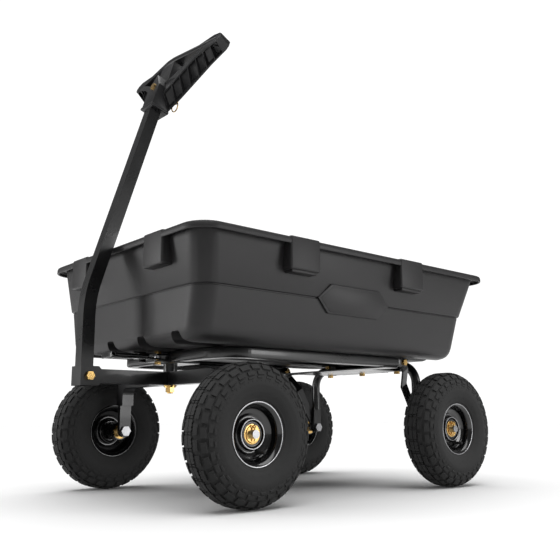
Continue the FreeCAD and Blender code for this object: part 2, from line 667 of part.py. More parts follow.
def handle():
    """The square-tube handle, bent back above the tub's rim, with its yoke and pivot."""
    lean = math.radians(D["shaft_lean"])
    foot = (D["grip_z"] - D["shaft_bend_z"]) / math.cos(lean)
    reach = foot + D["shaft_in_grip"]
    low = D["pivot_z"] + 15.0
    path = [(0.0, low), (0.0, D["shaft_bend_z"]),
            (-reach * math.sin(lean), D["shaft_bend_z"] + reach * math.cos(lean))]

    def outline(sketch):
        square(sketch, D["shaft"])
        square(sketch, D["shaft"] - 2 * D["shaft_wall"])

    tube = bent_tube("shaft", "XZ_Plane", path, D["shaft_bend_r"], outline)
    stand(tube, "mid_x + shaft_x", 0, 0)
    node("handle_shaft", cut(tube, pin_bore("hitch_r")))
    near, far = D["mid_x"] + D["yoke_back"], D["mid_x"] + D["yoke_front"]
    low_z, high_z = D["pivot_z"] - 19.0, D["pivot_z"] + 19.0
    bevel = 9.0
    corners = [(near + bevel, low_z), (far, low_z), (far, high_z), (near + bevel, high_z),
               (near, high_z - bevel), (near, low_z + bevel)]
    cheeks = []
    for name, side in SIDES:
        cheek = padded(name + "_cheek", "XZ_Plane", lambda sketch: draw(sketch, corners),
                       "yoke_t", 0.0, True)
        cheek.Placement.Base = Vector(0, side * (D["yoke_half"] - D["yoke_t"] / 2), 0)
        cheeks.append(cheek)
    web = box("3", "2 * yoke_half", 38, "mid_x + yoke_front - 3", "0 - yoke_half", "pivot_z - 19")
    shelf_back = box(3, "2 * yoke_half", 4, "mid_x + yoke_back + 12", "0 - yoke_half",
                     "pivot_z + 15")
    filler = [box("shaft", "yoke_half - yoke_t - shaft / 2", 4, "mid_x + shaft_x - shaft / 2", y,
                  "pivot_z + 15") for y in ("shaft / 2", "yoke_t - yoke_half")]
    bolt_hole = rod("bolt_r + 1", "2 * yoke_half + 2", "mid_x + pivot_x", "0 - yoke_half - 1",
                    "pivot_z", LEFT)
    node("handle_yoke", cut(fuse(*cheeks, web, shelf_back, *filler), bolt_hole))
    at = ("mid_x + pivot_x", "yoke_half", "pivot_z")
    right = Vector(0, -1, 0)
    shank = rod("bolt_r + 1", "2 * yoke_half + 8", *at, right)
    head = hexagon(9, 6, *at, LEFT)
    node("handle_pivot_bolt", fuse(shank, head))
    nut_at = (at[0], "0 - yoke_half", at[2])
    node("handle_pivot_nut", cut(hexagon(9, 7, *nut_at, right),
                                 rod("bolt_r + 1", 7, *nut_at, right)))


def tongue():
    """The square tube from the axle to the handle, with its pivot bush."""
    start = "%s + tube / 2" % FRONT_AXLE
    length = "mid_x + pivot_x - (%s)" % start
    low_z = "pivot_z - tube / 2"
    bar = box(length, "tube", "tube", start, "0 - tube / 2", low_z)
    nose = rod("tube / 2", "tube", "mid_x + pivot_x", "0 - tube / 2", "pivot_z", LEFT)
    hollow = box("%s - 22" % length, "tube - 2 * tube_wall", "tube - 2 * tube_wall", start,
                 "tube_wall - tube / 2", low_z + " + tube_wall")
    bush_hole = rod("bolt_r + 4", "tube + 2", "mid_x + pivot_x", "0 - tube / 2 - 1", "pivot_z",
                    LEFT)
    node("tongue", cut(fuse(bar, nose), hollow, bush_hole))
    bush_y = "0 - yoke_half + yoke_t + 0.3"
    bush_length = "2 * (yoke_half - yoke_t) - 0.6"
    at = ("mid_x + pivot_x", bush_y, "pivot_z", LEFT)
    node("tongue_bush", cut(rod("bolt_r + 4", bush_length, *at),
                            rod("bolt_r + 1 + running_gap", bush_length, *at)))


def along_handle(distance, outward=0.0):
    """A point of the upper handle: distance up from the grip's foot, outward to the front."""
    lean = math.radians(D["shaft_lean"])
    foot_x = D["mid_x"] + D["shaft_x"] - (D["grip_z"] - D["shaft_bend_z"]) * math.tan(lean)
    up = Vector(-math.sin(lean), 0, math.cos(lean))
    front = Vector(math.cos(lean), 0, math.sin(lean))
    return Vector(foot_x, 0, D["grip_z"]) + up * distance + front * outward


def across_handle(kind, distance, outward, **sizes):
    """A primitive whose Z runs from the back of the handle to its front."""
    made = bind(doc.addObject(kind, "Across"), **sizes)
    front = along_handle(0.0, 1.0) - along_handle(0.0)
    made.Placement = Placement(along_handle(distance, outward), Rotation(UP, front))
    return made


def pin_bore(radius):
    """The hole for the hitch pin, front to back."""
    return across_handle("Part::Cylinder", D["hitch_s"], -40.0, Radius=radius, Height=80)


def grip():
    """The moulded pull grip, its hitch pin and the pull ring."""
    half_w, height = D["grip_half_w"], D["grip_height"]
    sleeve = D["sleeve_half"]
    arm_back = D["arm_front"] - D["arm_depth"]
    up = along_handle(1.0) - along_handle(0.0)
    front = along_handle(0.0, 1.0) - along_handle(0.0)
    facing = Rotation(LEFT, up, front, "XYZ")

    def outline(right, outward):
        sketch = doc.addObject("Sketcher::SketchObject", "GripOutline")
        draw(sketch, right + [(-u, v) for u, v in reversed(right)])
        sketch.Placement = Placement(along_handle(0.0, outward), facing)
        return sketch

    sleeve_outline = [(sleeve, 0.0), (sleeve, 58.0), (2.0, 90.0)]
    barrel = loft(outline(sleeve_outline, -D["sleeve_back"]),
                  outline(sleeve_outline, D["sleeve_front"]))
    rear_outline = [(sleeve - 1, 4.0), (59.0, 31.0), (100.0, 66.0), (135.0, 97.0),
                    (170.0, 122.0), (half_w, 130.0), (half_w, 142.0), (170.0, height - 4),
                    (150.0, height - 1)]
    front_outline = [(sleeve - 1, 42.0), (59.0, 73.0), (103.0, 111.0), (135.0, 124.0),
                     (172.0, 135.0), (half_w, 139.0), (half_w, 147.0), (170.0, height - 2),
                     (150.0, height)]
    wings = loft(outline(rear_outline, arm_back), outline(front_outline, D["arm_front"]))
    holes = []
    for _, side in SIDES:
        hole = doc.addObject("Sketcher::SketchObject", "HandHole")
        draw(hole, [(side * u, v) for u, v in ((28.0, 80.0), (112.0, 128.0), (28.0, 128.0))])
        hole.Placement = Placement(along_handle(0.0, arm_back - 1.0), facing)
        through = doc.addObject("Part::Extrusion", "HandGap")
        through.Base = hole
        through.DirMode = "Normal"
        through.Solid = True
        bind(through, LengthFwd="arm_depth + 2")
        holes.append(through)
    lean = Rotation(LEFT, -D["shaft_lean"])
    socket_half = D["shaft"] / 2 + 0.3
    socket_length = D["shaft_in_grip"] + 1.5
    socket = bind(doc.addObject("Part::Box", "Socket"), Length=2 * socket_half,
                  Width=2 * socket_half, Height=socket_length)
    corner = lean.multVec(Vector(-socket_half, -socket_half, -1.0))
    socket.Placement = Placement(along_handle(0.0) + corner, lean)
    node("grip", cut(fuse(barrel, wings), socket, *holes, pin_bore("hitch_r")))
    tail = 18.0
    eye_at = along_handle(D["hitch_s"], arm_back - 12.0)
    eye_r = 3.6
    shank = across_handle("Part::Cylinder", D["hitch_s"], arm_back - tail, Radius="hitch_r",
                          Height="sleeve_front - arm_front + arm_depth + %g" % tail)
    head = across_handle("Part::Cylinder", D["hitch_s"], D["sleeve_front"],
                         Radius="hitch_r + 2", Height=3)
    eye = bind(doc.addObject("Part::Cylinder", "Eye"), Radius=eye_r, Height=30)
    eye.Placement = Placement(eye_at - LEFT * 15, Rotation(UP, LEFT))
    node("hitch_pin", cut(fuse(shank, head), eye))
    wire = 1.4
    ring = bind(doc.addObject("Part::Torus", "PullRing"), Radius1="ring_r", Radius2=wire)
    ring.Placement = Placement(eye_at - UP * D["ring_r"], Rotation(UP, FORWARD))
    node("pull_ring", ring)


frame_hoop()
plate_bolts = cross_plate()
rear_axle()
spindles("rear", REAR_AXLE, "rear_leg_y", "rear_leg_y + 5 + brace_t")
node("chassis_bolts", group(*plate_bolts, *braces()))
kingpin()
latch()
front_axle()
tongue()
spindles("front", FRONT_AXLE, "leg_y", "leg_y + 5")
handle()
grip()
tub()
saddles()
for name, x, side in (("front_left", FRONT_AXLE, 1), ("front_right", FRONT_AXLE, -1),
                      ("rear_left", REAR_AXLE, 1), ("rear_right", REAR_AXLE, -1)):
    wheel(name, x, side)

doc.recompute()
for thing in doc.Objects:
    if "Invalid" in thing.State or "Error" in thing.State:
        raise RuntimeError("%s did not build: %s" % (thing.Label, thing.State))
os.makedirs("parts", exist_ok=True)
for name, thing in NODES.items():
    shape = thing.Shape
    if shape.isNull() or not shape.isValid():
        raise RuntimeError("%s has no sound shape" % name)
    shape.exportStep("parts/%s.step" % name)
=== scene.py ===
"""Garden dump cart: the visible pieces, built round the fixed frame."""
import json
import math

import bmesh
import bpy
from mathutils import Matrix, Vector


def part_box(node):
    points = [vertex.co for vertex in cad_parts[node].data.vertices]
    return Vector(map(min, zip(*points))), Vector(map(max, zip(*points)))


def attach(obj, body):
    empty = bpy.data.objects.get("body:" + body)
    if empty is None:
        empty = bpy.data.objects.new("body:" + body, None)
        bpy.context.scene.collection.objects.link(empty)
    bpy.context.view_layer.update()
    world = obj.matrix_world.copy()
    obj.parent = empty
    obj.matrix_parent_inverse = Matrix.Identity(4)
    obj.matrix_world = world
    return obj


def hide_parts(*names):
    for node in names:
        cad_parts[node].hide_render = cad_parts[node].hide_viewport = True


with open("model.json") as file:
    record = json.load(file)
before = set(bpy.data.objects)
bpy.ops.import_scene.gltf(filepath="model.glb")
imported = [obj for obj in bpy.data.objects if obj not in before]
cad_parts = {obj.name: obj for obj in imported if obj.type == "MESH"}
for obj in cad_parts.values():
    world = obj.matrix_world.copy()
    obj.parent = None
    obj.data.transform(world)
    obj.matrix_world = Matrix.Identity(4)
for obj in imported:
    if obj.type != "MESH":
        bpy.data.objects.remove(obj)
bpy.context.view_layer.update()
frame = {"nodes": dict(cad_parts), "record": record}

bl_info = {
    "name": "Garden Dump Cart",
    "version": (1, 0, 0),
    "blender": (4, 5, 0),
    "location": "View3D > Sidebar > Cart",
    "description": "Builds the pieces of a garden dump cart round its frame",
    "category": "Object",
}

MM = 0.001
SIDES = (1, -1)
CORNERS = ("front_left", "front_right", "rear_left", "rear_right")
FORWARD = Vector((1, 0, 0))
ACROSS = Vector((0, 1, 0))
UP = Vector((0, 0, 1))


# ---------------------------------------------------------------- sizes and colours

class CartSizes(bpy.types.PropertyGroup):
    """Sizes that shape the modelled pieces."""
    tread_depth: bpy.props.FloatProperty(
        name="Tread depth", description="Depth of the grooves in the tyre tread",
        default=3.4 * MM, unit="LENGTH")
    tread_count: bpy.props.IntProperty(
        name="Tread blocks", description="Blocks in one ring of the tread", default=30)
    rib_count: bpy.props.IntProperty(
        name="Grip ribs", description="Ribs under each arm of the grip", default=7)


class CartColours(bpy.types.PropertyGroup):
    """Base colours of the finishes."""
    poly: bpy.props.FloatVectorProperty(
        name="Tub", description="Moulded poly of the tub", subtype="COLOR", size=3,
        default=(0.026, 0.025, 0.026))
    rubber: bpy.props.FloatVectorProperty(
        name="Tyre", description="Tyre rubber", subtype="COLOR", size=3,
        default=(0.008, 0.0083, 0.0095))
    paint: bpy.props.FloatVectorProperty(
        name="Paint", description="Black paint of the steel parts", subtype="COLOR", size=3,
        default=(0.004, 0.004, 0.0045))
    zinc: bpy.props.FloatVectorProperty(
        name="Yellow zinc", description="Plating of the bolts and bearings", subtype="COLOR",
        size=3, default=(0.72, 0.47, 0.17))


class CartStage(bpy.types.PropertyGroup):
    """The camera and the studio."""
    eye: bpy.props.FloatVectorProperty(
        name="Camera place", description="Where the camera stands", subtype="TRANSLATION",
        size=3, default=(1.105, 1.3128, 0.165))
    yaw: bpy.props.FloatProperty(
        name="Camera heading", description="Heading of the view from the X axis",
        subtype="ANGLE", default=math.radians(-131.22))
    pitch: bpy.props.FloatProperty(
        name="Camera pitch", description="Upward tilt of the view", subtype="ANGLE",
        default=math.radians(10.79))
    roll: bpy.props.FloatProperty(
        name="Camera roll", description="Turn about the line of sight", subtype="ANGLE",
        default=math.radians(-0.33))
    lens: bpy.props.FloatProperty(
        name="Lens", description="Focal length for a 36 mm sensor", default=45.82)
    white: bpy.props.FloatVectorProperty(
        name="Floor", description="Colour of the floor", subtype="COLOR",
        size=3, default=(0.9, 0.9, 0.9))


# ---------------------------------------------------------------- finishes

COAT_ROUGHNESS = 0.06
CLOUD_RANGE = (0.3, 0.7)
GLOSS_BELOW = 0.05
GLOSS_ABOVE = 0.06
LEAST_ROUGHNESS = 0.02
BUMP_DEPTH = 0.0004


def shader(name, colour, rough, metal=0.0, patch=0.15, patch_scale=9.0, grain=0.1,
           grain_scale=900.0, coat=0.0, specular=0.5):
    """A finish with soft patches of tone and gloss, and a fine grain in its surface."""
    material = bpy.data.materials.get(name)
    if material:
        return material
    material = bpy.data.materials.new(name)
    material.use_nodes = True
    nodes, links = material.node_tree.nodes, material.node_tree.links
    surface = nodes["Principled BSDF"]
    surface.inputs["Metallic"].default_value = metal
    surface.inputs["Coat Weight"].default_value = coat
    surface.inputs["Coat Roughness"].default_value = COAT_ROUGHNESS
    surface.inputs["Specular IOR Level"].default_value = specular
    place = nodes.new("ShaderNodeTexCoord")

    def noise(scale, detail):
        made = nodes.new("ShaderNodeTexNoise")
        made.inputs["Scale"].default_value = scale
        made.inputs["Detail"].default_value = detail
        links.new(place.outputs["Object"], made.inputs["Vector"])
        return made

    clouds = noise(patch_scale, 5.0)
    tone = nodes.new("ShaderNodeMix")
    tone.data_type = "RGBA"
    tone.inputs["A"].default_value = (*[c * (1.0 - patch) for c in colour], 1.0)
    tone.inputs["B"].default_value = (*[min(c * (1.0 + patch), 1.0) for c in colour], 1.0)
    links.new(clouds.outputs["Fac"], tone.inputs["Factor"])
    links.new(tone.outputs["Result"], surface.inputs["Base Color"])
    gloss = nodes.new("ShaderNodeMapRange")
    gloss.inputs["From Min"].default_value = CLOUD_RANGE[0]
    gloss.inputs["From Max"].default_value = CLOUD_RANGE[1]
    gloss.inputs["To Min"].default_value = max(rough - GLOSS_BELOW, LEAST_ROUGHNESS)
    gloss.inputs["To Max"].default_value = rough + GLOSS_ABOVE
    links.new(clouds.outputs["Fac"], gloss.inputs["Value"])
    links.new(gloss.outputs["Result"], surface.inputs["Roughness"])
    if grain > 0:
        fine = noise(grain_scale, 3.0)
        bump = nodes.new("ShaderNodeBump")
        bump.inputs["Strength"].default_value = grain
        bump.inputs["Distance"].default_value = BUMP_DEPTH
        links.new(fine.outputs["Fac"], bump.inputs["Height"])
        links.new(bump.outputs["Normal"], surface.inputs["Normal"])
    return material


def finishes():
    """Every finish, keyed by the record's material slot."""
    colours = bpy.context.scene.cart_colours
    paint = tuple(colours.paint)
    return {
        "black_paint": shader("gloss_black_paint", paint, 0.30, grain=0.25, grain_scale=260.0,
                              patch_scale=14.0, coat=0.25),
        "lever_paint": shader("wet_black_paint", paint, 0.16, grain=0.12, grain_scale=180.0,
                              coat=0.7),
        "rim_paint": shader("rim_black_paint", paint, 0.20, grain=0.12, grain_scale=220.0,
                            patch_scale=18.0, coat=0.5),
        "yellow_zinc": shader("yellow_zinc_plate", tuple(colours.zinc), 0.26, metal=1.0,
                              patch=0.3, patch_scale=70.0, grain=0.2, grain_scale=700.0),
        "bare_steel": shader("bright_zinc_plate", (0.36, 0.36, 0.37), 0.30, metal=1.0,
                             patch=0.2, patch_scale=60.0, grain=0.2, grain_scale=700.0),
        "tub_poly": shader("moulded_poly", tuple(colours.poly), 0.46, patch=0.10,
                           patch_scale=3.0, grain=0.5, grain_scale=1300.0, specular=0.4),
        "grip_plastic": shader("grip_poly", (0.012, 0.012, 0.013), 0.36, patch=0.15,
                               grain=0.35, grain_scale=1100.0),
        "bush_plastic": shader("bush_poly", (0.02, 0.02, 0.02), 0.5, grain=0.3),
        "valve_rubber": shader("valve_rubber", (0.012, 0.012, 0.012), 0.45, grain=0.3),
        "tyre_rubber": shader("tyre_rubber", tuple(colours.rubber), 0.30, patch=0.22,
                              patch_scale=22.0, grain=0.40, grain_scale=800.0,
                              specular=0.75),
    }


def wear(obj, slot_name):
    """Give a piece its slot's finish."""
    obj.data.materials.clear()
    obj.data.materials.append(finishes()[slot_name])


def wear_node(name, slot_name):
    """Give a frame part its finish."""
    obj = frame["nodes"][name]
    finish = finishes()[slot_name]
    for place in obj.material_slots:
        place.material = finish


# ---------------------------------------------------------------- mesh helpers

def piece(name, bm, slot_name, body, nodes=(), smooth=35.0):
    """Turn a bmesh into a named piece that rides on a body and stands for its nodes."""
    mesh = bpy.data.meshes.new(name)
    bm.to_mesh(mesh)
    bm.free()
    obj = bpy.data.objects.new(name, mesh)
    bpy.context.collection.objects.link(obj)
    mesh.shade_smooth()
    mesh.set_sharp_from_angle(angle=math.radians(smooth))
    wear(obj, slot_name)
    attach(obj, body)
    if nodes:
        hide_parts(*nodes)
    return obj


def carved(base, others, how):
    """The base bmesh joined with or less the others; all the others are used up."""
    def as_object(bm):
        mesh = bpy.data.meshes.new("cutting")
        bm.to_mesh(mesh)
        bm.free()
        obj = bpy.data.objects.new("cutting", mesh)
        bpy.context.collection.objects.link(obj)
        return obj

    body = as_object(base)
    tools = [as_object(other) for other in others]
    for tool in tools:
        step = body.modifiers.new("carve", "BOOLEAN")
        step.operation = how
        step.solver = "EXACT"
        step.object = tool
    bpy.context.view_layer.update()
    graph = bpy.context.evaluated_depsgraph_get()
    mesh = bpy.data.meshes.new_from_object(body.evaluated_get(graph))
    result = bmesh.new()
    result.from_mesh(mesh)
    for used in [body] + tools:
        bpy.data.objects.remove(used, do_unlink=True)
    return result


def cuboid(low, high, round_off=0.0, segments=3):
    """A box between two corners in millimetres, with rounded edges."""
    bm = bmesh.new()
    bmesh.ops.create_cube(bm, size=1.0)
    low, high = Vector(low) * MM, Vector(high) * MM
    bmesh.ops.scale(bm, vec=high - low, verts=bm.verts)
    bmesh.ops.translate(bm, vec=(low + high) / 2, verts=bm.verts)
    if round_off:
        soften(bm, round_off, segments, 20.0)
    return bm


def soften(bm, width, segments=3, angle=30.0):
    """Round every edge sharper than an angle; width in millimetres."""
    sharp = [e for e in bm.edges
             if e.is_manifold and e.calc_face_angle(0.0) > math.radians(angle)]
    bmesh.ops.bevel(bm, geom=sharp, offset=width * MM, segments=segments, profile=0.5,
                    affect="EDGES", material=-1, clamp_overlap=True)


def merge_in(target, source, matrix=None):
    """Add a bmesh to another and free it."""
    if matrix is not None:
        bmesh.ops.transform(source, matrix=matrix, verts=source.verts)
    mesh = bpy.data.meshes.new("merge")
    source.to_mesh(mesh)
    source.free()
    target.from_mesh(mesh)
    bpy.data.meshes.remove(mesh)


def chain(bm, points):
    """A run of edges through points."""
    verts = [bm.verts.new(Vector(p) * MM) for p in points]
    return verts, [bm.edges.new(pair) for pair in zip(verts, verts[1:])]


def lathe(points, steps=72, closed=False):
    """A shape turned about the Y axis from (radius, y) points in millimetres."""
    bm = bmesh.new()
    verts, edges = chain(bm, [(r, y, 0.0) for r, y in points])
    if closed:
        edges.append(bm.edges.new((verts[-1], verts[0])))
    bmesh.ops.spin(bm, geom=verts + edges, cent=(0, 0, 0), axis=(0, 1, 0),
                   angle=2 * math.pi, steps=steps, use_merge=True)
    bmesh.ops.remove_doubles(bm, verts=bm.verts, dist=1e-6)
    bmesh.ops.recalc_face_normals(bm, faces=bm.faces)
    return bm


def slab(outline, depth, axes):
    """A flat outline of (u, v) millimetres given thickness; axes are u, v and the depth."""
    bm = bmesh.new()
    across, along, through = axes
    face = bm.faces.new([bm.verts.new((across * u + along * v - through * depth / 2) * MM)
                         for u, v in outline])
    grown = bmesh.ops.extrude_face_region(bm, geom=[face])
    moved = [v for v in grown["geom"] if isinstance(v, bmesh.types.BMVert)]
    bmesh.ops.translate(bm, vec=through * depth * MM, verts=moved)
    bmesh.ops.recalc_face_normals(bm, faces=bm.faces)
    return bm


# ---------------------------------------------------------------- tyre

def carcass(depth):
    """The tyre's body: the tread's floor, shoulders, sidewalls and beads."""
    half = [(132.5 - depth, 0.0), (132.5 - depth, 12.5), (130.6 - depth, 19.5),
            (127.9 - depth, 24.6), (121.9 - depth * 0.8, 31.2), (112.0 - depth * 0.5, 35.8),
            (104.5, 38.0), (100.0, 39.4), (96.5, 40.0), (93.0, 40.7), (89.5, 41.0),
            (86.5, 40.9), (84.0, 40.3), (80.0, 39.8), (75.0, 38.6), (70.0, 36.6), (66.5, 34.6),
            (64.5, 33.4), (63.4, 33.2), (62.4, 31.9), (60.0, 29.6), (56.0, 27.2), (51.0, 25.0),
            (51.0, 17.0), (60.0, 20.0), (76.0, 31.0), (90.0, 33.6), (110.0, 28.5),
            (121.0, 12.0), (121.5, 0.0)]
    mirrored = [(r, -y) for r, y in reversed(half[1:-1])]
    return lathe(half + mirrored, steps=96, closed=True)


def ring_of(bm, count):
    """Repeat a bmesh round the wheel, count times."""
    geometry = list(bm.verts) + list(bm.edges) + list(bm.faces)
    turn = 2 * math.pi / count
    bmesh.ops.spin(bm, geom=geometry, cent=(0, 0, 0), axis=(0, 1, 0),
                   angle=turn * (count - 1), steps=count - 1, use_duplicate=True)
    return bm


def knob(line, start, sweep, lift, steps=2):
    """One raised block that follows a (radius, y) line; lift is down into the carcass."""
    bm = bmesh.new()
    verts, edges = chain(bm, [(r, y, 0.0) for r, y in line])
    bmesh.ops.spin(bm, geom=verts + edges, cent=(0, 0, 0), axis=(0, 1, 0), angle=sweep,
                   steps=steps)
    bmesh.ops.recalc_face_normals(bm, faces=bm.faces)
    bmesh.ops.rotate(bm, cent=(0, 0, 0), matrix=Matrix.Rotation(start, 3, "Y"),
                     verts=bm.verts)
    middle = sum((v.co for v in bm.verts), Vector()) / len(bm.verts)
    first = bm.faces[:][0]
    if first.normal.dot(Vector((middle.x, middle.y * 1.5, middle.z))) < 0:
        bmesh.ops.reverse_faces(bm, faces=bm.faces)
    top = list(bm.faces)
    grown = bmesh.ops.extrude_face_region(bm, geom=top, use_keep_orig=True)
    sunk = [v for v in grown["geom"] if isinstance(v, bmesh.types.BMVert)]
    for vert in sunk:
        radial = Vector((vert.co.x, 0.0, vert.co.z))
        vert.co -= (radial.normalized() + Vector((0, math.copysign(0.7, vert.co.y), 0))
                    * (0.0 if abs(vert.co.y) < 16 * MM else 1.0)) * lift * MM
    bmesh.ops.recalc_face_normals(bm, faces=bm.faces)
    return bm


def centre_block(radius, inner_y, outer_y, start, sweep, teeth, lift):
    """A centre block with a straight inner edge and a zig-zag outer edge."""
    bm = bmesh.new()
    side = math.copysign(1.0, outer_y)
    edge = [(sweep * n / (2 * teeth), outer_y + side * (0.9 if n % 2 else -0.9))
            for n in range(2 * teeth + 1)]
    straight = [(angle, inner_y) for angle, _ in reversed(edge)]
    verts = []
    for angle, y in edge + straight:
        turn = start + angle
        verts.append(bm.verts.new((radius * math.cos(turn) * MM, y * MM,
                                   -radius * math.sin(turn) * MM)))
    top = []
    last = len(verts) - 1
    for n in range(2 * teeth):
        top.append(bm.faces.new((verts[n], verts[n + 1], verts[last - n - 1], verts[last - n])))
    grown = bmesh.ops.extrude_face_region(bm, geom=top, use_keep_orig=True)
    for vert in [v for v in grown["geom"] if isinstance(v, bmesh.types.BMVert)]:
        vert.co -= Vector((vert.co.x, 0.0, vert.co.z)).normalized() * lift * MM
    bmesh.ops.recalc_face_normals(bm, faces=bm.faces)
    return bm


BLOCK_ROOT = 0.8                  # how far a tread block's foot stands in the carcass
NUB_SWEEP = math.radians(1.1)
DOT_SWEEP = math.radians(0.9)
DOT_COUNT = 24


def tyre_mesh(depth_mm, count):
    """The whole tyre about the Y axis."""
    bm = carcass(depth_mm)
    pitch = 2 * math.pi / count
    lift = depth_mm + BLOCK_ROOT
    for side in SIDES:
        shift = 0.25 if side > 0 else 0.75

        def row(line, start, sweep, root, number=count, steps=2):
            outline = [(r, side * y) for r, y in line]
            merge_in(bm, ring_of(knob(outline, start, sweep, root, steps), number))

        merge_in(bm, ring_of(centre_block(132.45, side * 0.7, side * 9.8, 0.0, pitch * 0.74, 3,
                                          lift), count))
        row(((132.2, 1.6), (132.2, 8.8)), pitch * 0.81, pitch * 0.10, lift, steps=1)
        row(((132.3, 14.4), (131.0, 19.0), (129.2, 23.0)), pitch * shift, pitch * 0.70, lift)
        row(((126.3, 28.2), (122.4, 32.2), (118.4, 34.9)), pitch * (shift + 0.2), pitch * 0.72,
            lift * 0.8)
        row(((114.2, 36.9), (110.2, 38.3), (107.6, 39.0)), pitch * (shift - 0.08),
            pitch * 0.64, 2.2)
        row(((104.6, 39.8), (101.4, 40.5)), pitch * (shift + 0.18), pitch * 0.50, 1.6)
        row(((97.2, 40.5), (95.2, 40.75)), 0.0, NUB_SWEEP, 0.8, count * 2, 1)
        row(((74.6, 39.2), (73.4, 38.9)), 0.0, DOT_SWEEP, 1.0, DOT_COUNT, 1)
    return bm


# ---------------------------------------------------------------- wheel metalwork

def rim_line(side):
    """The dished outer rim from its rolled edge to the hub tube, as (radius, y)."""
    line = [(53.2, 25.6), (56.0, 27.9), (58.2, 28.2), (59.0, 29.2), (59.0, 30.0),
            (58.4, 30.6), (57.4, 30.7), (56.5, 30.2), (54.6, 28.6), (52.4, 26.8), (50.4, 24.0),
            (49.2, 20.0), (48.8, 14.5), (48.0, 11.0), (46.0, 8.6), (42.6, 7.2), (39.0, 6.6),
            (36.4, 5.0), (33.6, 3.4), (30.4, 3.2), (28.6, 4.2), (27.8, 6.0), (27.5, 8.6),
            (27.5, 13.6), (27.2, 14.4), (26.2, 14.8), (25.2, 14.4), (24.6, 13.2), (24.4, 9.0),
            (23.6, 8.2), (22.8, 8.6), (22.6, 11.6), (22.2, 12.4), (21.2, 12.6), (20.2, 12.2),
            (20.2, -1.0), (50.6, -1.0), (50.6, 23.6)]
    return [(r, side * y) for r, y in line]


def bearing_line():
    """A flanged bearing's face, with its seal groove and inner race."""
    return [(18.6, 2.0), (18.6, 12.2), (18.0, 12.8), (16.4, 12.9), (15.9, 12.0), (14.6, 11.6),
            (12.6, 11.8), (12.2, 12.4), (10.4, 12.5), (9.6, 12.2), (8.3, 12.0), (8.3, 2.0)]


def valve_line():
    """The valve's rubber base, stem and cap, as (radius, height)."""
    return [(0.01, -2.0), (6.2, -2.0), (6.2, 0.0), (5.4, 1.6), (4.0, 3.2), (3.2, 6.0),
            (3.0, 13.0), (3.6, 13.4), (3.6, 19.0), (3.0, 20.6), (0.01, 20.8)]


def in_wheel(corner, side):
    """The move from a wheel's own middle to its place."""
    low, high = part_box(corner + "_tyre")
    middle = (Vector(low) + Vector(high)) / 2
    turn = Matrix.Identity(4) if side > 0 else Matrix.Scale(-1, 4, (0, 1, 0))
    return Matrix.Translation(middle) @ turn


# A thin bright steel ring on the black rim's rolled edge: a painted highlight for the light
# caught along the flange edge.
RIM_HIGHLIGHT_RING = ((58.9, 30.05), (59.05, 29.6), (59.25, 30.1), (58.7, 30.75), (57.5, 30.85),
            (56.9, 30.55), (57.5, 30.4), (58.4, 30.3))
HUB_EDGE = ((27.55, 13.4), (27.7, 14.4), (27.0, 15.0), (25.9, 14.95), (25.6, 14.6),
            (26.3, 14.5), (27.1, 14.2))
INNER_BEARING = ((18.6, -48.3), (18.6, -59.9), (16.0, -60.1), (8.3, -60.1), (8.3, -48.3))
VALVE_TURN = math.radians(30)
VALVE_PLACE = (0.0, 5.2 * MM, -38 * MM)


def wheel(corner):
    """Every modelled piece of one wheel."""
    sizes = bpy.context.scene.cart_sizes
    side = 1 if "left" in corner else -1
    body = corner + "_wheel"
    place = in_wheel(corner, side)

    def add(name, bm, slot_name, nodes, smooth=35.0, extra=None):
        matrix = place if extra is None else place @ extra
        bmesh.ops.transform(bm, matrix=matrix, verts=bm.verts)
        if side < 0:
            bmesh.ops.reverse_faces(bm, faces=bm.faces)
        return piece(corner + "_" + name, bm, slot_name, body, nodes, smooth)

    add("tread", tyre_mesh(sizes.tread_depth / MM, sizes.tread_count), "tyre_rubber",
        [corner + "_tyre"], 40.0)
    add("dish", lathe(rim_line(1), 96, True), "rim_paint", [corner + "_rim_outer"])
    add("back_dish", lathe(rim_line(-1), 96, True), "rim_paint", [corner + "_rim_inner"])
    # Painted highlight: a bright steel ring laid along the rim's rolled edge.
    add("rim_highlight_ring", lathe(RIM_HIGHLIGHT_RING, 96, True), "bare_steel", ())
    add("hub_edge", lathe(HUB_EDGE, 72, True), "bare_steel", ())
    bearings = lathe(bearing_line(), 60, True)
    merge_in(bearings, lathe(INNER_BEARING, 48, True))
    add("bearing_faces", bearings, "yellow_zinc", [corner + "_bearings"])
    swing = Matrix.Rotation(VALVE_TURN, 4, "Y") @ Matrix.Translation(VALVE_PLACE)
    add("valve_stem", lathe(valve_line(), 20), "valve_rubber", [corner + "_valve"],
        extra=swing)


# ---------------------------------------------------------------- tub

MID = -34.0                       # the middle between the axles along X, in millimetres
CORNER_RADIUS = 38.0
CHANNEL_ROWS = (-187.5, -62.5, 62.5, 187.5)
CHANNEL_FLARE = ((10.0, 322.0), (13.0, 319.6), (14.6, 315.0), (16.0, 309.0), (18.4, 304.2),
                 (22.4, 300.9), (27.0, 299.6), (27.0, 270.0))
RIB_HALF_WIDTH = 20.5
SIDE_LUG_ROWS = (-176.0, 157.0)
FRONT_LUG_ROWS = (-155.0, 155.0)
LUG_TOP = 513.4
LUG_BOTTOM = 446.0

